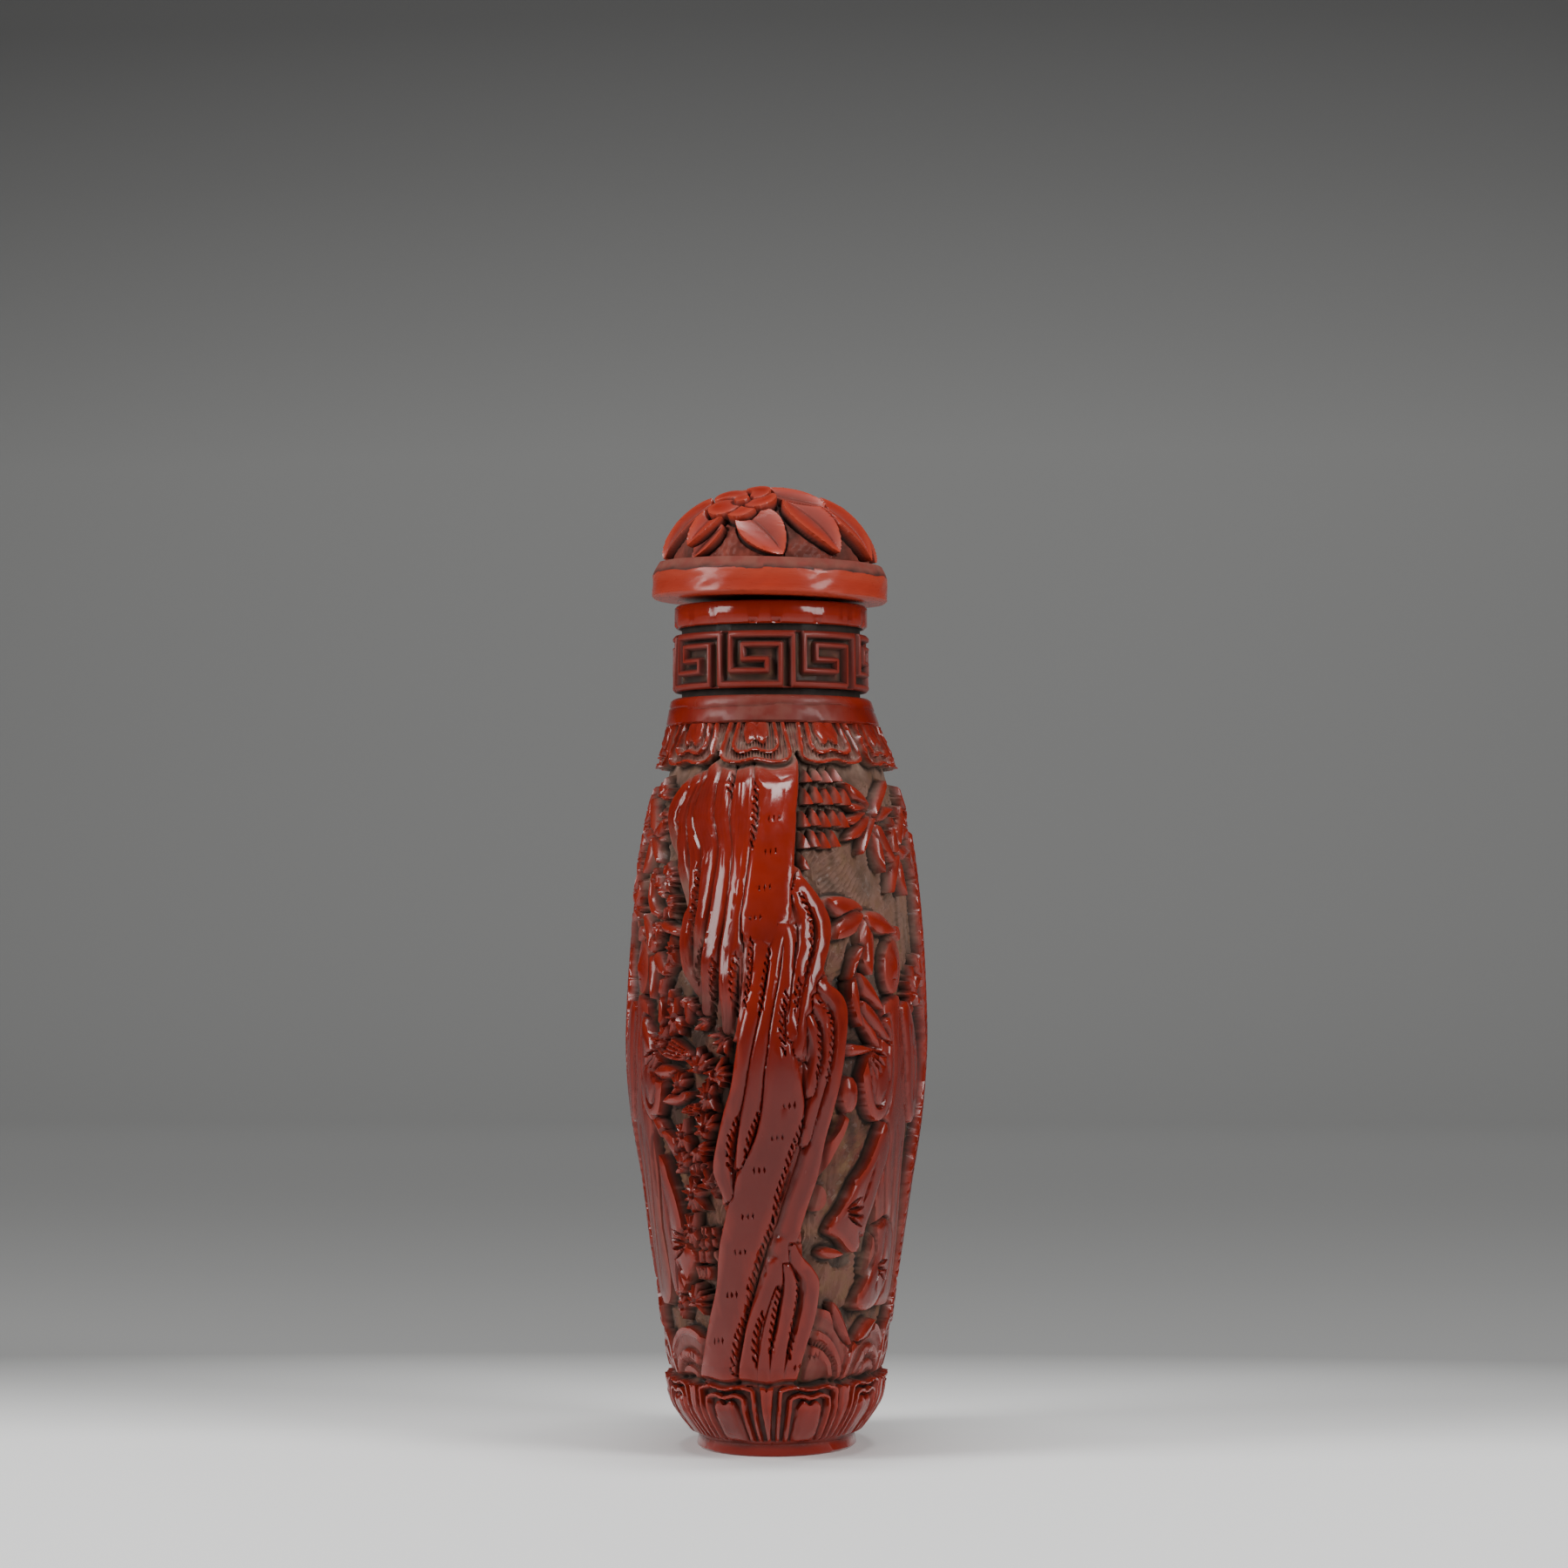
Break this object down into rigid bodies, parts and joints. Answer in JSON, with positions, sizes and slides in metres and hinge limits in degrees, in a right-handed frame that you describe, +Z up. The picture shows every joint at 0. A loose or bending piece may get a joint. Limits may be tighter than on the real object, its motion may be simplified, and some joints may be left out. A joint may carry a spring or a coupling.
{
  "type": "snuff bottle",
  "caption": "Flattened ovoid snuff bottle in carved red lacquer, hollow, with garden rocks, figures, a key-fret neck and a domed stopper carved with leaves",
  "frame": {"origin": "centre of the foot's underside, where the bottle stands", "axes": "+Z up the bottle, X across its narrow depth, Y across its broad width; the pictured narrow side faces -Y"},
  "size_m": [0.0252, 0.0442, 0.08],
  "materials": {
    "body_lacquer": "polished carved lacquer",
    "stopper_lacquer": "worn carved lacquer"
  },
  "bodies": {
    "root": {"bottle": "body_lacquer", "stopper": "stopper_lacquer"}
  },
  "joints": []
}
